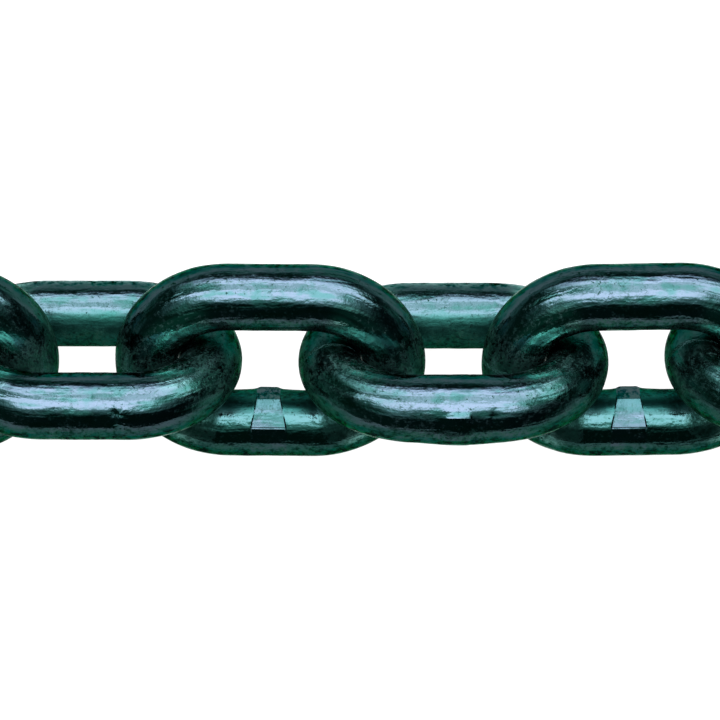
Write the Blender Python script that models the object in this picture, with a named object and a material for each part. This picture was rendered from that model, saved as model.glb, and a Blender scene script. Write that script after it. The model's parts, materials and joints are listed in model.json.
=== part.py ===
"""A metre of welded lifting chain, 16 mm bar and 45 mm pitch, lying straight on its links' lower legs.

Twenty-two equal links of dark heat-treated steel hang crown in crown.  Neighbours stand a quarter turn
apart, so on a flat surface each link leans 45 degrees to one side or the other.  The chain runs along X,
its middle is over the origin and its lowest faces are at Z = 0.
"""
import math

import bpy

MM = 0.001

# The chain
PITCH = 45.0 * MM              # from one link to the next, which is a link's inside length
LINK_COUNT = 22
LEAN = math.radians(45)        # a link's roll about the chain's length
CONTACT_GAP = 0.3 * MM         # clearance where two crowns bear on each other

# One link
LEG_BAR = 16.4 * MM            # bar diameter along the two straight legs
CROWN_BAR = 15.7 * MM          # bar diameter where it is bent, a little drawn out
LEG_SPACING = 38.3 * MM        # between the legs' centre lines
STRAIGHT = 20.0 * MM           # straight stretch of each leg

# The butt weld's trimmed collar, at the middle of one leg
WELD_LENGTH = 8.0 * MM
WELD_CREST = 5.4 * MM
WELD_RISE = 0.4 * MM

# Facets
SIDES = 16                     # around the bar
CROWN_STEPS = 9                # along each crown: an odd number sets a flat at its apex

HALF_SIDE = math.pi / SIDES
HALF_STEP = math.pi / 2 / CROWN_STEPS
SAME_AREA = math.sqrt(2 * HALF_SIDE / math.sin(2 * HALF_SIDE))   # the polygon keeps the round bar's area
CROWN_FLAT = CROWN_BAR / 2 * SAME_AREA * math.cos(HALF_SIDE) * math.cos(HALF_STEP)
CROWN_CENTRE = (PITCH + CONTACT_GAP) / 2 + CROWN_FLAT            # link centre to the bar's centre at an apex
ORIGIN_TO_CENTRE = PITCH - CROWN_CENTRE                          # the origin is in the previous link's crown
WELD_FLAT = (LEG_BAR / 2 + WELD_RISE) * SAME_AREA * math.cos(HALF_SIDE)
AXIS_HEIGHT = LEG_SPACING / 2 * math.sin(LEAN) + WELD_FLAT       # the chain's centre line above the floor

STEEL_COLOUR = (0.012, 0.035, 0.034, 1.0)
STEEL_ROUGHNESS = 0.28
STEEL_METALLIC = 0.35


def clear_scene():
    for obj in list(bpy.data.objects):
        bpy.data.objects.remove(obj, do_unlink=True)


def make_collection(name):
    collection = bpy.data.collections.new(name)
    bpy.context.scene.collection.children.link(collection)
    return collection


def dark_steel():
    """Quenched and tempered alloy steel with its dark, oiled finish."""
    material = bpy.data.materials.new("dark_steel")
    material.use_nodes = True
    material.diffuse_color = STEEL_COLOUR
    shader = material.node_tree.nodes["Principled BSDF"]
    shader.inputs["Base Color"].default_value = STEEL_COLOUR
    shader.inputs["Roughness"].default_value = STEEL_ROUGHNESS
    shader.inputs["Metallic"].default_value = STEEL_METALLIC
    return material


def crown_stations(side):
    """Points and bar radii around one end of a link, a half ellipse; side is 1 at +X and -1 at -X."""
    length = (CROWN_CENTRE - STRAIGHT / 2) / math.cos(HALF_STEP)
    stations = []
    for step in range(CROWN_STEPS + 1):
        angle = math.pi * (step / CROWN_STEPS - 0.5)
        x = side * (STRAIGHT / 2 + length * math.cos(angle))
        y = side * LEG_SPACING / 2 * math.sin(angle)
        radius = (LEG_BAR + (CROWN_BAR - LEG_BAR) * math.cos(angle) ** 2) / 2
        stations.append((x, y, radius))
    return stations


def weld_stations():
    """Points and bar radii over the collar on the -Y leg, from -X to +X."""
    leg_y = -LEG_SPACING / 2
    foot = (WELD_LENGTH / 2, leg_y, LEG_BAR / 2)
    crest = (WELD_CREST / 2, leg_y, LEG_BAR / 2 + WELD_RISE)
    return [(-foot[0], *foot[1:]), (-crest[0], *crest[1:]), crest, foot]


def link_curve(material):
    """The closed link as a bevelled curve in its XY plane, thickness following the bar."""
    curve = bpy.data.curves.new("chain_link", "CURVE")
    curve.dimensions = "3D"
    curve.twist_mode = "Z_UP"
    curve.bevel_mode = "ROUND"
    curve.bevel_depth = SAME_AREA
    curve.bevel_resolution = (SIDES - 4) // 2

    stations = weld_stations() + crown_stations(1) + crown_stations(-1)
    spline = curve.splines.new("POLY")
    spline.points.add(len(stations) - 1)
    for point, (x, y, radius) in zip(spline.points, stations):
        point.co = (x + ORIGIN_TO_CENTRE, y, 0.0, 1.0)
        point.radius = radius
        point.tilt = HALF_SIDE           # turns a flat, not a corner, towards the link's centre
    spline.use_cyclic_u = True
    spline.use_smooth = True
    curve.materials.append(material)
    return curve


def build_chain():
    """Hangs each link on the one before it, so turning a link about its own Z swings the rest of the chain."""
    collection = make_collection("lifting_chain")
    curve = link_curve(dark_steel())

    carrier = bpy.data.objects.new("chain_start", None)
    carrier.empty_display_size = LEG_SPACING
    first_centre = -(LINK_COUNT - 1) / 2 * PITCH
    carrier.location = (first_centre - ORIGIN_TO_CENTRE, 0.0, AXIS_HEIGHT)
    collection.objects.link(carrier)

    parent = carrier
    for number in range(1, LINK_COUNT + 1):
        link = bpy.data.objects.new(f"link_{number:02d}", curve)
        collection.objects.link(link)
        link.parent = parent
        if number == 1:
            link.rotation_euler.x = LEAN
        else:
            link.location.x = PITCH
            link.rotation_euler.x = 2 * LEAN if number % 2 else -2 * LEAN
        parent = link


def main():
    clear_scene()
    build_chain()


main()
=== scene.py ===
import json
import math

import bpy
import numpy as np
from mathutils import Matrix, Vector


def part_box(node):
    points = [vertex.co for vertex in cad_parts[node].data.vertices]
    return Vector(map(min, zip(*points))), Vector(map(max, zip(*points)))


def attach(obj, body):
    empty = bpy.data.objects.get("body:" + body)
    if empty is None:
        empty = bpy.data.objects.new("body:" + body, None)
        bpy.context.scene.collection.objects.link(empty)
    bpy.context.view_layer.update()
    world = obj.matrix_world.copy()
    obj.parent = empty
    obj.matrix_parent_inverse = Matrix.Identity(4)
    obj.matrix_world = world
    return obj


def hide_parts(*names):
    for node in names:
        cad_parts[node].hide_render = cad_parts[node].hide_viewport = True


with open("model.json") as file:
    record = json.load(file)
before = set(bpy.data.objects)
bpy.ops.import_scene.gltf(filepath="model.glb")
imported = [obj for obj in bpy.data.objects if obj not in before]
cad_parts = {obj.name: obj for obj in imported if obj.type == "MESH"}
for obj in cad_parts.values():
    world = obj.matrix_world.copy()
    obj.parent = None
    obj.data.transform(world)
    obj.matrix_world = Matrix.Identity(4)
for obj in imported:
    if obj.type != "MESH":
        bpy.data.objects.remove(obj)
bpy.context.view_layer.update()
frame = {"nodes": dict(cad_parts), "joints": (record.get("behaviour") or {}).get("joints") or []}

MM = 0.001

# The chain, read from the frame
JOINTS = frame["joints"]
PITCH = JOINTS[1]["pos_m"][0] - JOINTS[0]["pos_m"][0]
AXIS_HEIGHT = JOINTS[0]["pos_m"][2]
LINKS = sorted(frame["nodes"])
LEAN = math.radians(45)                 # a link's roll about the chain's length


def link_middle(node):
    """Where a link's middle lies along the chain."""
    low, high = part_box(node)
    return (low.x + high.x) / 2


CROWN_CENTRE = JOINTS[0]["pos_m"][0] - link_middle(LINKS[0])

# The bar
LEG_RADIUS = 8.2 * MM
CROWN_RADIUS = 7.8 * MM
HALF_SPACING = 19.15 * MM               # from a link's middle to a leg's centre line
HALF_STRAIGHT = 10.0 * MM               # and to the ends of its straight part
LOOP = 163.6 * MM                       # the bar's length once round a link

# Its slow unevenness, made of waves that run along it and round it
RELIEF_WAVES = 46
RELIEF_ALONG = (2, 34)                  # a wave's turns once round the link, and once round the bar
RELIEF_AROUND = (0, 9)
RELIEF_START = (0, 6.28)
RELIEF_SLOPE = 0.0042
RELIEF_WORN_OFF = 0.92                  # the share of it that is gone where the neighbour bears

# Wear inside the crowns; the bend of the bar is 0 on the legs and 1 at a crown's apex
SADDLE_BEND = (0.55, 0.95)
SADDLE_INNER = (0.5, -0.05)             # from here to there in the cosine of the angle round the bar
SADDLE_WEAR = 0.22 * MM                 # off the crown's flanks, where the neighbour slides
BEARING_INNER = (0.5, 1.0)
BEARING_SHARE = 0.35                    # of that wear where the crowns bear when the chain is pulled straight

# The collar of a lower link's weld.  Round the bar 0 degrees faces out of the link, and 180 its opening
FLAT = math.pi / 4
FLAT_CORNER = math.radians(30)          # where one of the corners between its trimmed flats is
FLAT_RISE = 0.014                       # the middle of a flat above the round bar, as a share of its radius
COLLAR_TURN = math.radians(5)
COLLAR_INNER = (-0.30, 0.15)            # it fades out towards the outside of the link
COLLAR_CREST = 4.1 * MM                 # half its length along the bar
COLLAR_FOOT = 4.5 * MM
COLLAR_ZONE = 8.4 * MM                  # the mesh follows its slanting ends up to here
COLLAR_WAIST = ((75, 1.03), (120, 1.0), (165, 0.69), (216, 0.66), (285, 1.0))   # angle, share of its length
LIP = ((105, 1.010), (110, 1.028), (116.5, 1.056), (118.5, 1.052), (120, 1.097))     # angle, radius
LIP_SPAN = (math.radians(104), math.radians(119.9))
LIP_ANGLES = (116.5, 118.5)             # extra lines of the mesh along it
TOP_SIDE = 216                          # its ends are gentler at its top
TOP_SPREAD = 25
TOP_CREST_CUT = 1.0 * MM
TOP_FOOT_RUN = 0.9 * MM
FOOT_SWELL = 0.10 * MM                  # the bar beside it
FOOT_SWELL_AT_TOP = 1.6
FOOT_SWELL_REACH = 2.2 * MM
FOOT_GROOVE = 0.035 * MM
GROOVE_REACH = 0.35 * MM
CONTACT_SWELL = 0.33 * MM               # its underside, where the chain rests on the floor
CONTACT_SIDE = -45
CONTACT_SPREAD = 32
FULLER = 0.40 * MM                      # swelling of the leg's inner, upper side about the weld
FULLER_SIDE = 156
FULLER_SPREAD = 32
FULLER_REACH = 16 * MM

# An upper link's weld: flats on the inner side, and a seam outside that is trimmed nearly flush
INNER_FLATS = (0.45, 0.85)
FLUSH_RISE = 0.004
SEAM_CORNER = math.radians(20)
SEAM_LENGTH = 8.0 * MM                  # its trimmed flats fade over this length
SEAM_FADES = (0.6, 1.0)
SEAM_FROM = -57                         # and past this angle round the bar
SEAM_UP_TO = (46, 70)
SEAM_PROUD = {"link_10": 0.22, "link_12": 0.45}    # how flat they are; the others at random
SEAM_PROUD_RANGE = (0.2, 0.55)
SEAM_GROOVE = 0.07 * MM
NOTCH_OFF_SEAM = 5.6 * MM               # a dent past the seam
NOTCH_DEPTH = 0.28 * MM
NOTCH_REACH = 0.8 * MM
NOTCH_SIDE = 22
NOTCH_SPREAD = 11
BEAD_REACH = 2.0 * MM                   # a bead of flash
BEAD_SIDE = 16
BEAD_SPREAD = 24
FAINT_BEAD = 0.35                       # on the links that aren't in BEAD_SHIFT

# each link's weld off the middle of its leg, the bead off the weld, and how much thicker the leg is there;
# the other links' are drawn at random, in millimetres
WELD_SHIFT = {"link_10": 2.0 * MM, "link_11": -0.5 * MM, "link_12": 3.7 * MM, "link_13": -1.7 * MM}
WELD_SHIFT_RANGE = (-2.5, 3.5)
BEAD_SHIFT = {"link_10": 7.0 * MM}
BEAD_SHIFT_RANGE = (-4, 6)
UPSET = {"link_10": 0.0, "link_11": 0.0, "link_12": 0.85 * MM, "link_13": 0.0}
UPSET_RANGE = (0.0, 0.35)
UPSET_SIDE = -54                        # on the outer, lower side
UPSET_SPREAD = 42
UPSET_CENTRE = -3 * MM
UPSET_REACH = 9 * MM

# how far the crowns sit to the side, in the joint before each link; no more than play allows
SWAY = {"link_10": 0.33 * MM, "link_11": 0.05 * MM, "link_12": -0.33 * MM, "link_13": -0.33 * MM,
        "link_14": 0.30 * MM}
SWAY_RANGE = (-0.2, 0.2)
SWAY_SEED = 77
LINK_SEED = 4100

# The mesh
STEP_ALONG = 1.0 * MM
STEP_AT_WELD = 0.4 * MM
PAST_FOOT = 1.0 * MM
WELD_MARKS = (0.0, COLLAR_CREST, COLLAR_FOOT + PAST_FOOT, COLLAR_ZONE)
WELD_STEPS = (STEP_AT_WELD, STEP_AT_WELD / 2, STEP_AT_WELD * 2)      # between the marks
CROWN_STEPS = 60
STEP_AROUND = 5
RING = np.radians(sorted((*range(0, 360, STEP_AROUND), *LIP_ANGLES)))
AROUND = len(RING)
SHARP = math.radians(16)
PATTERN_SEAM = 0.75                     # the pattern's own seam is in a crown, this far round the link
PATTERN_SHIFT = 0.37                    # from one link's stretch of the pattern to the next one's

# How much film each end's crown has, towards -X and +X, and where rubbing keeps the steel free of it; near
# the neighbour the soot also paints the contact shade
CROWN_FILM = {"link_10": (0.5, 0.75), "link_11": (0.65, 0.12), "link_12": (0.60, 0.30),
              "link_13": (0.75, 0.5)}
CROWN_FILM_RANGE = (0.2, 0.8)
CLEAN_WITHIN = 2.0 * MM                 # of the neighbour's bar
FILM_BEYOND = 9.0 * MM
NEIGHBOUR_STEP = 3                      # every third station of the neighbour is measured

# Where each finish starts and ends, in the bend of the bar
CROWN_START = (0.0, 0.55)
RIM_LIGHT_STOPS = (0.2, 0.9)
FADING_STOPS = (0.3, 0.9)
# painted shade where a lower leg begins to bend
BEND_SHADE_BEND = (0.005, 0.065)
FLANK_BEND_FAR = (0.02, 0.14)
FLANK_BEND_NEAR = (0.08, 0.28)
FLANK_APEX = (0.0, 0.22)                # counted back from the apex
FLANK_SIDES = (52, 80)                  # degrees from the outside of the link

# across the link, from -1 on the welded leg to 1 on the other
FAR_LEG = (-0.2, 0.9)
REAR_LEG = (0.0, 0.9)
HIGH_HALF = (0.25, 0.6)
LOW_HALF = (0.55, 0.2)
LOWER_LEG = (0.0, -0.9)
BEND_SHADE_LEG = (-0.5, -0.9)

# and in how far the skin faces up and back, as the link lies
TRIMMED_UP = (0.55, 0.75)
GREENER_BACK = (0.02, 0.42)
COLLAR_TOP_BACK = (0.3, 0.6)
MATT_UP = (0.78, 0.48)
REAR_UNDER = (-0.40, -0.75)
RIM_LIGHT_BACK = (0.55, 0.80)
FADING_BACK = (0.02, -0.30)
SHADED_BACK = (-0.05, 0.50)
SHADED_MATT = (0.40, 0.70)
BEND_SHADE_UP = (0.55, 0.80)

# How strong they are
FAR_LEG_DULL = 0.35
HIGH_HALF_GLOSS = (0.8, 0.5)            # towards -X and +X
BACK_COUNTS = 0.3                       # how much facing back adds to facing up
HIGH_HALF_CLEAN = 0.85
LOW_HALF_NEAR = 0.75
NEAR_CLEAN = 0.9
COLLAR_UNSHADED = 0.85
SHADED_FILM = 0.75
WELD_CALM_REACH = 4 * MM


def smooth(edge0, edge1, value):
    """0 at the first edge and 1 at the second, with soft ends."""
    t = np.clip((value - edge0) / (edge1 - edge0), 0.0, 1.0)
    return t * t * (3 - 2 * t)


def hump(value, spread):
    """A soft bump, 1 high at 0."""
    return np.exp(-(value / spread) ** 2)


def off_side(angle, middle):
    """Degrees round the bar from one of its sides, from -180 to 180."""
    return (np.degrees(angle) - middle + 180) % 360 - 180


# The bar's centre line

def spread(start, end, step):
    """Evenly spaced values from start up to end, both included, about a step apart."""
    count = max(1, int(round(abs(end - start) / step)))
    return np.linspace(start, end, count + 1)


def leg_right_of_weld(weld_at):
    """Stations from the weld to the leg's end, close together over the collar."""
    last = HALF_STRAIGHT - weld_at
    ends = [mark for mark in WELD_MARKS if mark < last - STEP_ALONG / 2] + [last]
    pieces = []
    for index, (low, high) in enumerate(zip(ends, ends[1:])):
        step = WELD_STEPS[index] if index < len(WELD_STEPS) else STEP_ALONG
        pieces.append(spread(low, high, step)[:-1])
    return weld_at + np.concatenate(pieces + [[last]])


def leg_stations(x, side):
    """One leg: x, across, the way out, and the bar's radius."""
    ones = np.ones(len(x))
    return np.column_stack([x, side * HALF_SPACING * ones, 0 * ones, side * ones, LEG_RADIUS * ones])


def crown_stations(side):
    """One crown, a half ellipse, with the same columns; side is 1 at +X and -1 at -X."""
    length = CROWN_CENTRE - HALF_STRAIGHT
    angle = (np.arange(1, CROWN_STEPS) / CROWN_STEPS - 0.5) * np.pi
    x = side * (HALF_STRAIGHT + length * np.cos(angle))
    across = side * HALF_SPACING * np.sin(angle)
    out = np.stack([side * np.cos(angle) / length, side * np.sin(angle) / HALF_SPACING], 1)
    out /= np.linalg.norm(out, axis=1, keepdims=True)
    radius = LEG_RADIUS + (CROWN_RADIUS - LEG_RADIUS) * np.cos(angle) ** 2
    return np.column_stack([x, across, out, radius])


def centre_line(weld_at):
    """Stations along one link's bar, from its weld and back to it."""
    right = leg_right_of_weld(weld_at)
    left = -leg_right_of_weld(-weld_at)[::-1]
    far_leg = spread(HALF_STRAIGHT, -HALF_STRAIGHT, STEP_ALONG)
    return np.concatenate([leg_stations(right, -1), crown_stations(1), leg_stations(far_leg, 1),
                           crown_stations(-1), leg_stations(left, -1)])


# The shape of the welds and of the bar's skin

def collar_waist(angle):
    """The collar's length at an angle around the bar, as a share of its full length."""
    angles, shares = zip(*COLLAR_WAIST)
    return np.interp(np.degrees(angle), angles, shares)


def octagon(angle, corner, rise):
    """How far an octagon round the bar stands off it, with a corner at a given angle."""
    turn = (angle - corner) % FLAT - FLAT / 2
    return LEG_RADIUS * ((1 + rise) / np.cos(turn) - 1)


def collar_ends(along, angle):
    """The collar's share of its full height, and the swelling of the bar beside it."""
    at_top = hump(off_side(angle, TOP_SIDE), TOP_SPREAD)
    crest = COLLAR_CREST - TOP_CREST_CUT * at_top
    foot = COLLAR_FOOT + TOP_FOOT_RUN * at_top
    body = 1 - np.clip((np.abs(along) - crest) / (foot - crest), 0, 1)
    past_foot = np.abs(along) - COLLAR_FOOT
    swell = FOOT_SWELL * (1 + FOOT_SWELL_AT_TOP * at_top) * hump(past_foot, FOOT_SWELL_REACH) * (1 - body)
    return body, swell - FOOT_GROOVE * hump(past_foot, GROOVE_REACH)


def lower_collar(along, angle):
    """How far a lower link's collar stands off the round bar, before its waist is drawn in."""
    body, swell = collar_ends(along, angle)
    inside = smooth(*COLLAR_INNER, -np.cos(angle - COLLAR_TURN))
    flats = octagon(angle, FLAT_CORNER, FLAT_RISE)
    lip = LEG_RADIUS * (np.interp(np.degrees(angle), *zip(*LIP)) - 1)
    flats = np.where((angle > LIP_SPAN[0]) & (angle < LIP_SPAN[1]), lip, flats)
    contact = CONTACT_SWELL * hump(off_side(angle, CONTACT_SIDE), CONTACT_SPREAD)
    return (flats * inside + contact) * body + swell * inside


def upper_seam(along, angle, proud):
    """How far an upper link's weld stands off the round bar."""
    body, _ = collar_ends(along, angle)
    inside = smooth(*INNER_FLATS, -np.cos(angle - COLLAR_TURN))
    before_seam = STEP_AT_WELD / 2 - along
    step = np.where(before_seam > 0, 1 - smooth(*SEAM_FADES, before_seam / SEAM_LENGTH), 0.0)
    past_side = (np.degrees(angle) - SEAM_FROM) % 360 + SEAM_FROM
    flats = octagon(angle, SEAM_CORNER, FLUSH_RISE) * proud * (1 - smooth(*SEAM_UP_TO, past_side))
    notch = hump(along - NOTCH_OFF_SEAM, NOTCH_REACH) * hump(off_side(angle, NOTCH_SIDE), NOTCH_SPREAD)
    dips = NOTCH_DEPTH * notch + SEAM_GROOVE * hump(along, GROOVE_REACH)
    inner_flats = octagon(angle, FLAT_CORNER, FLUSH_RISE) * inside * body
    return inner_flats + (flats * step - dips) * (1 - inside)


def upset(along, angle, amount):
    """The outer, lower side of a leg is thicker about the weld."""
    return amount * hump(along - UPSET_CENTRE, UPSET_REACH) * hump(off_side(angle, UPSET_SIDE), UPSET_SPREAD)


def fuller(along, angle):
    """The inner, upper side of a lower leg swells a little about the weld."""
    return FULLER * hump(along, FULLER_REACH) * hump(off_side(angle, FULLER_SIDE), FULLER_SPREAD)


def bar_relief(phase, angle, rng):
    """Slow unevenness of drawn and bent bar, a few hundredths of a millimetre.

    phase goes once round the link.
    """
    relief = np.zeros_like(phase + angle)
    for _ in range(RELIEF_WAVES):
        along = int(rng.integers(*RELIEF_ALONG))
        around = int(rng.integers(*RELIEF_AROUND))
        steepness = 2 * np.pi * along / LOOP + around / LEG_RADIUS
        start = rng.uniform(*RELIEF_START)
        relief = relief + np.sin(along * phase + around * angle + start) * RELIEF_SLOPE / steepness
    return relief


# One link

class Link:
    """A link's stations in rows and the angles round its bar in columns, and its own random draws."""

    def __init__(self, node, number):
        self.node = node
        self.number = number
        self.upper = number % 2 == 0
        self.lean = -LEAN if self.upper else LEAN
        self.rng = np.random.default_rng(LINK_SEED + number)
        line = centre_line(WELD_SHIFT.get(node, self.rng.uniform(*WELD_SHIFT_RANGE) * MM))
        hop = np.hypot(np.diff(line[:, 0]), np.diff(line[:, 1]))
        self.where = np.concatenate([[0.0], np.cumsum(hop)])
        self.total = self.where[-1]

        # the last station falls on the first one: the ring closes there
        line = line[:-1]
        where = self.where[:-1, None]
        self.rows = len(line)
        self.x, self.across, self.out_x, self.out_across, self.radius = (column[:, None] for column in line.T)
        self.from_weld = np.where(where > self.total / 2, where - self.total, where)
        self.phase = where / self.total * 2 * np.pi
        self.bend = (LEG_RADIUS - self.radius) / (LEG_RADIUS - CROWN_RADIUS)
        self.ring = RING[None, :]


def bar_radius(link):
    """The bar's radius at every station and angle, with its weld, wear and unevenness."""
    along, ring = link.from_weld, link.ring
    saddle = smooth(*SADDLE_BEND, link.bend) * smooth(*SADDLE_INNER, np.cos(ring))
    relief = bar_relief(link.phase, ring, link.rng)
    wear = SADDLE_WEAR * saddle * (1 - (1 - BEARING_SHARE) * smooth(*BEARING_INNER, -np.cos(ring)))
    lift = link.radius + relief * (1 - RELIEF_WORN_OFF * saddle) - wear

    proud = SEAM_PROUD.get(link.node, link.rng.uniform(*SEAM_PROUD_RANGE))
    weld = upper_seam(along, ring, proud) if link.upper else lower_collar(along, ring)
    lift = lift + np.where(np.abs(along) < COLLAR_ZONE, weld, 0.0)
    lift = lift + upset(along, ring, UPSET.get(link.node, link.rng.uniform(*UPSET_RANGE) * MM))
    if not link.upper:
        lift = lift + fuller(along, ring)
    return lift


def link_points(link, sway_before, sway_after):
    """The skin's points, with the link where it lies in the chain."""
    along, ring = link.from_weld, link.ring
    lift = bar_radius(link)

    # the rows of the mesh follow the collar's waist
    waist = (collar_waist(ring) - 1) * (1 - smooth(COLLAR_FOOT, COLLAR_ZONE, np.abs(along)))
    slant = np.where(np.abs(along) < COLLAR_ZONE, along * waist, 0.0)
    x = link.x + lift * link.out_x * np.cos(ring) + slant
    across = link.across + lift * link.out_across * np.cos(ring)
    above = lift * np.sin(ring)

    sway = (sway_before + sway_after) / 2 + (sway_after - sway_before) * x / PITCH
    y = across * math.cos(link.lean) - above * math.sin(link.lean) + sway
    z = across * math.sin(link.lean) + above * math.cos(link.lean)
    return np.stack([x + link_middle(link.node), y, z + AXIS_HEIGHT], -1).reshape(-1, 3)


def bar_line(number):
    """Points along the middle of a link's bar, as the chain lies."""
    line = centre_line(0.0)
    lean = LEAN if number % 2 else -LEAN
    x = line[:, 0] + link_middle(LINKS[number - 1])
    return np.column_stack([x, line[:, 1] * math.cos(lean), line[:, 1] * math.sin(lean) + AXIS_HEIGHT])


def nearness(link, points):
    """1 close to a neighbour's bar and 0 well away from it."""
    nearest = np.full(len(points), np.inf)
    for other in (link.number - 1, link.number + 1):
        if not 1 <= other <= len(LINKS):
            continue
        for stop in bar_line(other)[::NEIGHBOUR_STEP]:
            nearest = np.minimum(nearest, np.linalg.norm(points - stop, axis=1))
    near = 1 - smooth(CLEAN_WITHIN, FILM_BEYOND, nearest - LEG_RADIUS)
    return near.reshape(link.rows, AROUND)


def lower_link_finishes(link, on_collar, facing_up, facing_back):
    """On a lower link, 0 on the others: its two halves, its shaded side, the painted shade where its leg
    begins to bend, and its teal leg.
    """
    lower = 0.0 if link.upper else 1.0
    side = link.across / HALF_SPACING
    high_half = lower * smooth(*HIGH_HALF, side)
    low_half = lower * smooth(*LOW_HALF, side) * smooth(*CROWN_START, link.bend)
    leg = lower * smooth(*LOWER_LEG, side)
    shaded = leg * smooth(*SHADED_BACK, facing_back) * (1 - COLLAR_UNSHADED * on_collar)

    # painted shade where the leg begins to bend, darkening it with specks, film and soot
    grime = lower * smooth(*BEND_SHADE_LEG, side) * smooth(*BEND_SHADE_BEND, link.bend) * smooth(*BEND_SHADE_UP, facing_up)
    return high_half, low_half, shaded, grime, leg * (1 - on_collar)


def crown_film(link, high_half, low_half):
    """The film round the crowns."""
    left, right = CROWN_FILM.get(link.node, link.rng.uniform(*CROWN_FILM_RANGE, 2))
    film = np.where(link.x > 0, right, left) * smooth(*CROWN_START, link.bend)
    return np.maximum(film * (1 - HIGH_HALF_CLEAN * high_half), low_half)


def rubbed_and_sheen_flanks(link):
    """The flanks of the crowns, rubbed bright by the neighbour and brighter still as a painted reflection of
    its highlight.
    """
    far = smooth(*FLANK_BEND_FAR, link.bend)
    past_leg = np.where(link.across > 0, far, smooth(*FLANK_BEND_NEAR, link.bend))
    to_side = smooth(*FLANK_SIDES, np.abs(off_side(link.ring, 0)))
    return smooth(*FLANK_APEX, 1 - link.bend) * past_leg * to_side


def flash_bead(link):
    """The bead of flash beside the weld."""
    along = link.from_weld - BEAD_SHIFT.get(link.node, link.rng.uniform(*BEAD_SHIFT_RANGE) * MM)
    bead = hump(along, BEAD_REACH) * hump(off_side(link.ring, BEAD_SIDE), BEAD_SPREAD)
    return bead * (1.0 if link.node in BEAD_SHIFT else FAINT_BEAD)


def finishes(link, points):
    """Where each finish lies, from 0 to 1."""
    bend, ring = link.bend, link.ring
    side = link.across / HALF_SPACING
    outward = link.out_across * np.cos(ring)
    facing_up = outward * math.sin(link.lean) + np.sin(ring) * math.cos(link.lean)
    facing_back = outward * math.cos(link.lean) - np.sin(ring) * math.sin(link.lean)

    on_collar = np.where(link.upper, 0.0, 1 - smooth(COLLAR_CREST, COLLAR_FOOT, np.abs(link.from_weld)))
    trimmed = on_collar * smooth(*TRIMMED_UP, facing_up)
    high_half, low_half, shaded, grime, teal = lower_link_finishes(link, on_collar, facing_up, facing_back)

    # the rear leg of an upper link, with painted rim light on its back-facing rim
    rear = smooth(*REAR_LEG, side) * (1.0 if link.upper else 0.0)
    pale = rear * smooth(*RIM_LIGHT_BACK, facing_back) * (1 - smooth(*RIM_LIGHT_STOPS, bend))
    # its front side is rougher, and tinted green to paint the colour of its highlight's fade
    fading = rear * smooth(*FADING_BACK, facing_back) * (1 - smooth(*FADING_STOPS, bend))

    # film: on the sides and undersides as the link lies, most on the front, and round the crowns
    matt = smooth(*MATT_UP, facing_up + BACK_COUNTS * np.clip(facing_back, 0, 1))
    matt = np.maximum(matt, rear * smooth(*REAR_UNDER, facing_back))
    # near the neighbour's bar the film is cleared and the soot darkens, painting the contact shade
    near = nearness(link, points) * (1 - LOW_HALF_NEAR * low_half)
    matt = np.maximum(matt, crown_film(link, high_half, low_half)) * (1 - NEAR_CLEAN * near)
    matt = np.maximum(matt, SHADED_FILM * shaded * smooth(*SHADED_MATT, facing_back))
    # the painted shade at the bend also takes the film
    matt = np.maximum(matt, grime)

    far_leg = smooth(*FAR_LEG, side) * (FAR_LEG_DULL if link.upper else 0.0)
    gloss_left, gloss_right = HIGH_HALF_GLOSS
    dull = np.maximum(smooth(*CROWN_START, bend), far_leg)
    dull = dull * (1 - np.where(link.x > 0, gloss_right, gloss_left) * high_half)
    return {
        "dull": dull,
        "under": matt,
        "weld": hump(link.from_weld, WELD_CALM_REACH),
        "flank": rubbed_and_sheen_flanks(link),
        "bead": flash_bead(link),
        "pale": pale,
        # painted shade: near the neighbour's bar and where a lower leg begins to bend
        "near": np.maximum(near, grime),
        "trimmed": trimmed,
        # teal towards the top of the trimmed flat, painting the gradient of its reflection
        "greener": trimmed * smooth(*GREENER_BACK, facing_back),
        # the collar's back-facing top, where a paler grazing tint paints a lighter reflection
        "collar": on_collar * smooth(*COLLAR_TOP_BACK, facing_back),
        "shaded": shaded,
        "fading": fading,
        "grime": grime,
        "teal": teal,
    }


FINISHES = ("dull", "under", "weld", "flank", "bead", "pale", "near", "trimmed", "greener", "collar",
            "shaded", "fading", "grime", "teal")


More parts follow.
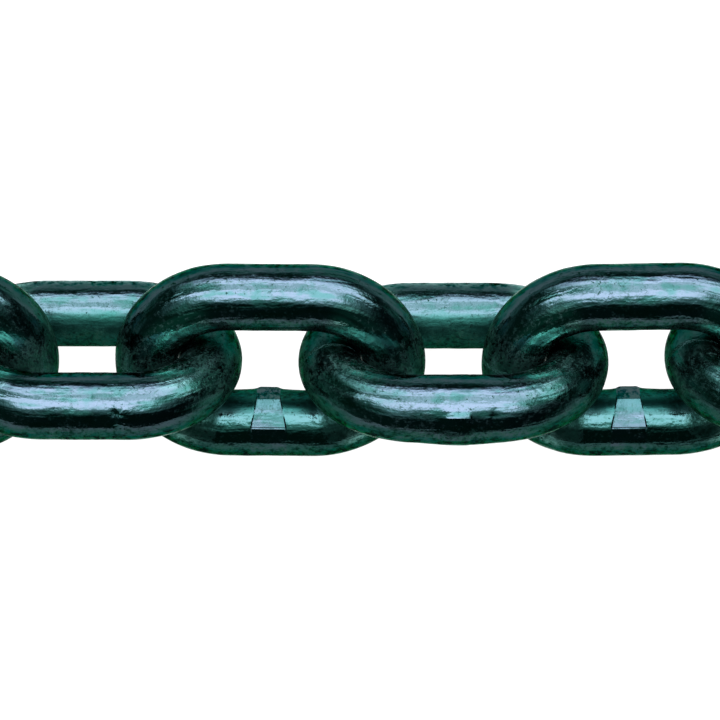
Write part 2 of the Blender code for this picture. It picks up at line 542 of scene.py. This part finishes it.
def link_mesh(link, sway_before, sway_after):
    """The link's skin, with its finishes and its place in the pattern as attributes."""
    points = link_points(link, sway_before, sway_after)
    row, col = np.meshgrid(np.arange(link.rows), np.arange(AROUND), indexing="ij")
    next_row = (row + 1) % link.rows
    next_col = (col + 1) % AROUND
    quads = np.stack([row * AROUND + col, next_row * AROUND + col,
                      next_row * AROUND + next_col, row * AROUND + next_col], -1)

    mesh = bpy.data.meshes.new(link.node + "_steel")
    mesh.vertices.add(len(points))
    mesh.vertices.foreach_set("co", points.astype(np.float32).ravel())
    mesh.loops.add(quads.size)
    mesh.loops.foreach_set("vertex_index", quads.ravel().astype(np.int32))
    mesh.polygons.add(row.size)
    mesh.polygons.foreach_set("loop_start", np.arange(0, quads.size, 4, dtype=np.int32))
    mesh.update(calc_edges=True)
    mesh.shade_smooth()
    mesh.set_sharp_from_angle(angle=SHARP)

    # the bar unrolled straight: length from the weld, and the two sides of its round section
    station = link.where[np.stack([row, row + 1, row + 1, row], -1).ravel()]
    station = np.where(station > PATTERN_SEAM * link.total, station - link.total, station)
    angle = RING[np.stack([col, col, next_col, next_col], -1).ravel()]
    bar = np.stack([station + link.number * PATTERN_SHIFT,
                    LEG_RADIUS * np.cos(angle), LEG_RADIUS * np.sin(angle)], -1)
    unrolled = mesh.attributes.new("bar", "FLOAT_VECTOR", "CORNER")
    unrolled.data.foreach_set("vector", bar.astype(np.float32).ravel())

    values = finishes(link, points)
    for name in FINISHES:
        everywhere = np.broadcast_to(values[name], (link.rows, AROUND))
        layer = mesh.attributes.new(name, "FLOAT", "POINT")
        layer.data.foreach_set("value", everywhere.astype(np.float32).ravel())
    return mesh


def joint_sways():
    """How far to the side each joint sits, from the first link's free end to the last one's."""
    values = np.random.default_rng(SWAY_SEED).uniform(*SWAY_RANGE, len(LINKS) + 1) * MM
    for index, node in enumerate(LINKS):
        values[index] = SWAY.get(node, values[index])
    return values


# Shader nodes

MIX_A, MIX_B, MIX_RESULT = 6, 7, 2      # a mix node's colour sockets


class Nodes:
    """Small helper that adds and links shader nodes."""

    def __init__(self, tree):
        self.tree = tree

    def add(self, kind, **settings):
        node = self.tree.nodes.new(kind)
        for name, value in settings.items():
            setattr(node, name, value)
        return node

    def link(self, source, target):
        self.tree.links.new(source, target)

    def attribute(self, name, output="Fac"):
        return self.add("ShaderNodeAttribute", attribute_name=name).outputs[output]

    def noise(self, vector, scale, detail, rough, distortion=0.0):
        node = self.add("ShaderNodeTexNoise")
        node.inputs["Scale"].default_value = scale
        node.inputs["Detail"].default_value = detail
        node.inputs["Roughness"].default_value = rough
        node.inputs["Distortion"].default_value = distortion
        self.link(vector, node.inputs["Vector"])
        return node.outputs["Fac"]

    def stretch(self, vector, scale):
        node = self.add("ShaderNodeMapping")
        node.inputs["Scale"].default_value = scale
        self.link(vector, node.inputs["Vector"])
        return node.outputs["Vector"]

    def remap(self, value, low, high, to_low=0.0, to_high=1.0):
        node = self.add("ShaderNodeMapRange", interpolation_type="SMOOTHSTEP")
        self.link(value, node.inputs["Value"])
        for name, number in (("From Min", low), ("From Max", high), ("To Min", to_low), ("To Max", to_high)):
            node.inputs[name].default_value = number
        return node.outputs["Result"]

    def math(self, operation, a, b=None):
        node = self.add("ShaderNodeMath", operation=operation)
        for socket, value in zip(node.inputs, (a, b)):
            if value is None:
                continue
            if isinstance(value, (int, float)):
                socket.default_value = value
            else:
                self.link(value, socket)
        return node.outputs[0]

    def weighted(self, maps, weights):
        """The sum of some maps times their weights."""
        total = None
        for name, weight in weights.items():
            part = self.math("MULTIPLY", maps[name], weight)
            total = part if total is None else self.math("ADD", total, part)
        return total

    def mix(self, factor, a, b):
        """From a to b, each a socket or a colour."""
        node = self.add("ShaderNodeMix", data_type="RGBA")
        self.link(factor, node.inputs["Factor"])
        for socket, value in ((node.inputs[MIX_A], a), (node.inputs[MIX_B], b)):
            if isinstance(value, tuple):
                socket.default_value = (*value, 1)
            else:
                self.link(value, socket)
        return node.outputs[MIX_RESULT]

    def bump(self, height, strength, distance, below=None):
        node = self.add("ShaderNodeBump")
        node.inputs["Strength"].default_value = strength
        node.inputs["Distance"].default_value = distance
        self.link(height, node.inputs["Height"])
        if below is not None:
            self.link(below, node.inputs["Normal"])
        return node.outputs["Normal"]


# The steel's patterns: scale in waves a metre, octaves, roughness, and distortion
PATTERNS = {
    "broad": (90, 3.0, 0.6),
    "blotch": (330, 4.0, 0.62),
    "mottle": (760, 4.0, 0.7),
    "grain": (1700, 3.0, 0.65),
    "speckle": (1000, 6.0, 0.7, 0.4),
    "flash": (480, 2.0, 0.5),
}
STREAK = (430, 2.0, 0.5)
STREAK_STRETCH = (0.2, 1.0, 1.0)        # along the bar it is longer

# Its oxide
OXIDE_FIELD = {"blotch": 0.35, "streak": 0.65}
OXIDE_TONES = (0.38, 0.53)
OXIDE_TEAL = (0.0150, 0.0460, 0.0435)
OXIDE_LAVENDER = (0.0300, 0.0520, 0.0610)
SOFT_SIDE = (0.0, 0.45)
# where a lower leg's shaded side gets a brighter green, a painted glow
SHADED_GLOW = (0.25, 0.85)
# some of these tints follow how a side faces and paint the colour of its reflection: teal towards the top of
# the trimmed flat, teal and then a brighter painted green glow on a lower leg's shaded side, green where the
# rear leg's highlight fades
OXIDE_TINTS = (                         # a finish, its strength and its colour
    ("teal", 0.85, (0.0150, 0.0500, 0.0447)),
    ("greener", 0.7, (0.021, 0.059, 0.061)),
    ("soft_side", 0.5, (0.017, 0.056, 0.056)),
    ("deep_side", 0.8, (0.010, 0.075, 0.063)),
    ("fading", 0.9, (0.008, 0.055, 0.043)),
    ("dull", 0.55, (0.008, 0.044, 0.032)),
)
# the flanks' colour: rubbed steel, brightened further as a painted sheen reflected from the neighbour
RUBBED_AND_SHEEN = (0.095, 0.235, 0.205)
RUBBED_SHEEN_STREAKS = (0.40, 0.56, 0.30, 1.0)

# Its film, soot and specks; the soot also paints contact shade near the neighbours, and the specks paint
# shade at the lower legs' bends
FILM_FIELD = {"mottle": 0.45, "grain": 0.35, "broad": 0.20, "under": 0.13}
FILM_EDGE = (0.50, 0.73)
FILM_TONE_FIELD = {"grain": 0.4, "blotch": 0.6}
FILM_TONES = (0.49, 0.60)
FILM_GREEN = (0.003, 0.044, 0.023)
FILM_GREY = (0.013, 0.054, 0.036)
# a brighter film colour, painted rim light on the rear legs' back-facing rims
FILM_RIM_LIGHT = (0.050, 0.150, 0.135)
FILM_METALLIC = 0.65
# soot in random blotches, darker near the neighbour's bar as painted contact shade
SOOT_AND_SHADE_FIELD = {"blotch": -0.5, "mottle": 0.5, "near": 0.08}
SOOT_AND_SHADE_EDGE = (-0.05, 0.09)
SOOT_AND_SHADE = (0.002, 0.014, 0.009)
SPECK_FIELD = {"speckle": 1.0, "broad": 0.25, "trimmed": -0.06, "under": 0.02}
SPECK_EDGE = (0.735, 0.785)
SPECKS = (0.003, 0.014, 0.011)
# dark patches of painted shade where a lower leg begins to bend
BEND_SHADE_PATCHES = (0.40, 0.60, 0.95, 0.55)

# The tint of its grazing reflections
RIM_GREEN = (0.28, 0.51, 0.39)
RIM_GREY = (0.40, 0.49, 0.45)
# a paler grazing tint there, for the same painted rim light
RIM_LIGHT_TINT = (0.60, 0.80, 0.76)
# paler on the collar's back-facing top, a painted lighter reflection
RIM_COLLAR = (0.62, 0.70, 0.68)
# the grazing tint darkened by the soot and by the painted contact shade
RIM_SOOT_AND_SHADE = (0.22, 0.30, 0.27)

# Its roughness, with what each finish adds to it
POLISH = 0.08
WORN_FIELD = {"broad": 0.5, "blotch": 0.5}
WORN_EDGE = (0.42, 0.60)
WORN_ROUGH = 0.14
DULL_ROUGH = 0.06
ROUGH_FIELD = {"worn": 1.0, "film": 0.22, "speck": 0.25, "soft_side": 0.20, "fading": 0.31}

# The fine unevenness of its skin: a map, its middle, and the bump's strength and height
BUMPS = (
    ("streak", 0.5, 0.70, 0.34 * MM),
    ("blotch", 0.5, 0.60, 0.26 * MM),
    ("mottle", 0.5, 0.12, 0.09 * MM),
    ("film", 0.0, 0.25, 0.03 * MM),
)
FLASH_BUMP = (0.8, 0.9 * MM)
WELD_CALM = (0.2, 0.9, 1.0, 0.45)       # it is calmer about the weld and on the shaded side
SIDE_CALM = (0.0, 1.0, 1.0, 0.25)


def oxide_colour(n, maps):
    """The glossy oxide, teal and lavender grey, with tints that paint the colour of its reflection on some
    sides, rubbed brighter where the neighbour slides and brighter still there as a painted sheen.
    """
    tone = n.remap(n.weighted(maps, OXIDE_FIELD), *OXIDE_TONES)
    colour = n.mix(tone, OXIDE_TEAL, OXIDE_LAVENDER)
    for name, strength, tint in OXIDE_TINTS:
        colour = n.mix(n.math("MULTIPLY", maps[name], strength), colour, tint)
    rubbed_and_sheen = n.math("MULTIPLY", maps["flank"], n.remap(maps["streak"], *RUBBED_SHEEN_STREAKS))
    return n.mix(rubbed_and_sheen, colour, RUBBED_AND_SHEEN)


def film_colours(n, maps):
    """The film's colour, green and grey with soot, darker near the neighbours as painted contact shade and
    brighter on the rear legs' back-facing rims as painted rim light, and the tint of its grazing reflections.
    """
    tone = n.remap(n.weighted(maps, FILM_TONE_FIELD), *FILM_TONES)
    soot_and_shade = n.remap(n.weighted(maps, SOOT_AND_SHADE_FIELD), *SOOT_AND_SHADE_EDGE)
    # brighter on the rear legs' back-facing rims as painted rim light
    colour = n.mix(maps["pale"], n.mix(tone, FILM_GREEN, FILM_GREY), FILM_RIM_LIGHT)
    rim = n.mix(maps["pale"], n.mix(tone, RIM_GREEN, RIM_GREY), RIM_LIGHT_TINT)
    rim = n.mix(maps["collar"], rim, RIM_COLLAR)
    return n.mix(soot_and_shade, colour, SOOT_AND_SHADE), n.mix(soot_and_shade, rim, RIM_SOOT_AND_SHADE)


def specks(n, maps):
    """Black specks, fewest on the trimmed flats, and painted shade in patches where a lower leg begins to
    bend.
    """
    grime = n.math("MULTIPLY", maps["grime"], n.remap(maps["blotch"], *BEND_SHADE_PATCHES))
    return n.math("MAXIMUM", n.remap(n.weighted(maps, SPECK_FIELD), *SPECK_EDGE), grime)


def worn_patches(n, maps):
    """How much rougher the crowns are, in patches."""
    worn = n.remap(n.weighted(maps, WORN_FIELD), *WORN_EDGE)
    return n.math("MULTIPLY", maps["dull"], n.math("ADD", n.math("MULTIPLY", worn, WORN_ROUGH), DULL_ROUGH))


def skin_bumps(n, maps):
    """The fine unevenness, and the bead of flash."""
    calm = n.math("MULTIPLY", n.remap(maps["weld"], *WELD_CALM), n.remap(maps["soft_side"], *SIDE_CALM))
    normal = None
    for name, middle, strength, height in BUMPS:
        calmed = n.math("MULTIPLY", n.math("SUBTRACT", maps[name], middle), calm)
        normal = n.bump(calmed, strength, height, normal)
    return n.bump(n.math("MULTIPLY", maps["flash"], maps["bead"]), *FLASH_BUMP, normal)


def dark_steel():
    """Tempered steel with its dark glossy oxide, and a matt green film in patches, most round the crowns."""
    material = bpy.data.materials.new("dark_steel")
    material.use_nodes = True
    n = Nodes(material.node_tree)
    shader = material.node_tree.nodes["Principled BSDF"]
    shader.inputs["Specular IOR Level"].default_value = 0.0

    bar = n.attribute("bar", "Vector")
    maps = {name: n.attribute(name) for name in FINISHES}
    for name, settings in PATTERNS.items():
        maps[name] = n.noise(bar, *settings)
    maps["streak"] = n.noise(n.stretch(bar, STREAK_STRETCH), *STREAK)
    # on a lower leg's shaded side: a teal tint painting its highlight's colour, and further up a brighter
    # green painting a glow
    maps["soft_side"] = n.remap(maps["shaded"], *SOFT_SIDE)
    maps["deep_side"] = n.remap(maps["shaded"], *SHADED_GLOW)
    maps["film"] = n.remap(n.weighted(maps, FILM_FIELD), *FILM_EDGE)
    maps["speck"] = specks(n, maps)
    maps["worn"] = worn_patches(n, maps)

    film_colour, rim_tint = film_colours(n, maps)
    colour = n.mix(maps["speck"], n.mix(maps["film"], oxide_colour(n, maps), film_colour), SPECKS)
    n.link(colour, shader.inputs["Base Color"])
    n.link(rim_tint, shader.inputs["Specular Tint"])
    n.link(n.remap(maps["film"], 0.0, 1.0, 1.0, FILM_METALLIC), shader.inputs["Metallic"])
    n.link(n.math("ADD", n.weighted(maps, ROUGH_FIELD), POLISH), shader.inputs["Roughness"])
    n.link(skin_bumps(n, maps), shader.inputs["Normal"])
    return material


# The chain's pieces

steel = dark_steel()
sways = joint_sways()
for number, node in enumerate(LINKS, start=1):
    mesh = link_mesh(Link(node, number), sways[number - 1], sways[number])
    mesh.materials.append(steel)
    piece = bpy.data.objects.new(node + "_steel", mesh)
    bpy.context.scene.collection.objects.link(piece)
    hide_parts(node)
    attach(piece, node)


# The studio's softboxes, in degrees of lean from straight up: centre, half axes, turn, softness, strength
TOP_HALO = ((-1, 1), (28, 23), 0, 1.0, 0.40)
TOP_CORE = ((-1, -0.5), (26, 16), 0, 0.38, 0.60)
LEFT = ((-25, 10), (20, 9), -5, 0.5, 0.92)
BACK = ((0.5, 43), (29, 13), -2, 1.0, 0.98)
RIGHT = ((31, 28), (24.5, 12), -34, 0.4, 0.88)
FILL = ((13, 21), (24, 12), -15, 0.6, 0.70)
RADIANCE = 12.5
BRIGHT_TINT = (1.27, 1.0, 1.19)
DIM_TINT = (0.55, 1.0, 0.90)
DIM_BACK_TINT = (1.0, 1.0, 1.25)
DIM_BACK = (0.55, 0.85)                 # the dim edges' tint changes over this much of +Y

# The room round them
ROOM_LEFT = (0.02, 0.11, 0.08)
ROOM_RIGHT = (0.01, 0.04, 0.04)
ROOM_LOW = (0.45, 0.85, 0.78)
ROOM_SIDES = (-0.9, 0.7)                # from left to right
ROOM_FRONT = (-0.95, 0.30)              # and from the front, where its lowest part stays dark
LOW_SKY = (math.cos(math.radians(72)), math.cos(math.radians(88)))
SMALLEST_SINE = 1e-4

# The floor
FLOOR_RADIUS = 60
FLOOR_SIDES = 96
FLOOR_COLOUR = (0.12, 0.12, 0.12, 1)
FLOOR_ROUGHNESS = 0.9
FLOOR_GLOW = (1.0, 1.0, 0.995, 1)
FLOOR_GLOW_STRENGTH = 0.97

# The camera
IMAGE_WIDTH = 720
PIXELS_PER_METRE = 4.071 / MM           # at the chain's centre line
FOCAL_PIXELS = 5280
CAMERA_TILT = math.radians(8.6)         # off straight down
CAMERA_TARGET = Vector((-0.44 * MM, 0.0, AXIS_HEIGHT))
SENSOR_WIDTH = 36
CLIP_END = 200


def pale_floor():
    """A floor like a light table, nearly white, that still takes a faint shadow."""
    material = bpy.data.materials.new("pale_floor")
    material.use_nodes = True
    shader = material.node_tree.nodes["Principled BSDF"]
    shader.inputs["Base Color"].default_value = FLOOR_COLOUR
    shader.inputs["Roughness"].default_value = FLOOR_ROUGHNESS
    shader.inputs["Specular IOR Level"].default_value = 0.0
    shader.inputs["Emission Color"].default_value = FLOOR_GLOW
    shader.inputs["Emission Strength"].default_value = FLOOR_GLOW_STRENGTH
    return material


def add_floor():
    bpy.ops.mesh.primitive_circle_add(vertices=FLOOR_SIDES, radius=FLOOR_RADIUS, fill_type="NGON")
    floor = bpy.context.object
    floor.name = "floor"
    floor.data.materials.append(pale_floor())


def soft_patch(n, lean, centre, half, turn, softness, strength):
    """A soft-edged ellipse on the sky, its centre and half axes in degrees of lean."""
    placed = n.add("ShaderNodeMapping", vector_type="TEXTURE")
    placed.inputs["Location"].default_value = (*centre, 0)
    placed.inputs["Rotation"].default_value = (0, 0, math.radians(turn))
    placed.inputs["Scale"].default_value = (*half, 1)
    n.link(lean, placed.inputs["Vector"])
    length = n.add("ShaderNodeVectorMath", operation="LENGTH")
    n.link(placed.outputs["Vector"], length.inputs[0])
    return n.remap(length.outputs["Value"], 1 + softness, 1 - softness, 0.0, strength)


def lean_from_up(n, towards, height):
    """Degrees from straight up, towards +X and towards +Y."""
    zenith = n.math("ARCCOSINE", height)
    sine = n.math("MAXIMUM", n.math("SINE", zenith), SMALLEST_SINE)
    per_length = n.math("DIVIDE", n.math("MULTIPLY", zenith, math.degrees(1)), sine)
    flat = n.add("ShaderNodeVectorMath", operation="MULTIPLY")
    flat.inputs[1].default_value = (1, 1, 0)
    n.link(towards, flat.inputs[0])
    return scaled(n, flat.outputs["Vector"], per_length)


def scaled(n, vector, factor):
    """A vector or colour times a number."""
    node = n.add("ShaderNodeVectorMath", operation="SCALE")
    n.link(vector, node.inputs[0])
    n.link(factor, node.inputs["Scale"])
    return node.outputs["Vector"]


def add_world():
    """Large diffused softboxes over a dark room, whose walls catch a little light towards the floor."""
    world = bpy.data.worlds.new("studio")
    world.use_nodes = True
    n = Nodes(world.node_tree)
    towards = n.add("ShaderNodeTexCoord").outputs["Generated"]
    split = n.add("ShaderNodeSeparateXYZ")
    n.link(towards, split.inputs[0])
    lean = lean_from_up(n, towards, split.outputs["Z"])

    light = n.math("ADD", soft_patch(n, lean, *TOP_HALO), soft_patch(n, lean, *TOP_CORE))
    for patch in (LEFT, BACK, RIGHT, FILL):
        light = n.math("MAXIMUM", light, soft_patch(n, lean, *patch))
    dim_tint = n.mix(n.remap(split.outputs["Y"], *DIM_BACK), DIM_TINT, DIM_BACK_TINT)
    lit = scaled(n, n.mix(light, dim_tint, BRIGHT_TINT), n.math("MULTIPLY", light, RADIANCE))

    low = n.remap(split.outputs["Z"], *LOW_SKY)
    not_front = n.remap(split.outputs["Y"], *ROOM_FRONT)
    room = n.mix(n.remap(split.outputs["X"], *ROOM_SIDES), ROOM_LEFT, ROOM_RIGHT)
    room = n.mix(n.math("MULTIPLY", low, not_front), room, ROOM_LOW)
    sky = n.add("ShaderNodeVectorMath", operation="ADD")
    n.link(lit, sky.inputs[0])
    n.link(room, sky.inputs[1])
    n.link(sky.outputs["Vector"], world.node_tree.nodes["Background"].inputs["Color"])
    bpy.context.scene.world = world


def add_camera():
    """Looks almost straight down on the middle of the chain, from a little in front of it."""
    data = bpy.data.cameras.new("camera")
    data.sensor_width = SENSOR_WIDTH
    data.lens = SENSOR_WIDTH * FOCAL_PIXELS / IMAGE_WIDTH
    data.clip_end = CLIP_END
    camera = bpy.data.objects.new("camera", data)
    bpy.context.scene.collection.objects.link(camera)
    away = FOCAL_PIXELS / PIXELS_PER_METRE
    camera.location = CAMERA_TARGET + away * Vector((0.0, -math.sin(CAMERA_TILT), math.cos(CAMERA_TILT)))
    camera.rotation_euler = (CAMERA_TILT, 0.0, 0.0)
    bpy.context.scene.camera = camera


add_floor()
add_world()
add_camera()
bpy.context.scene.view_settings.view_transform = "Standard"
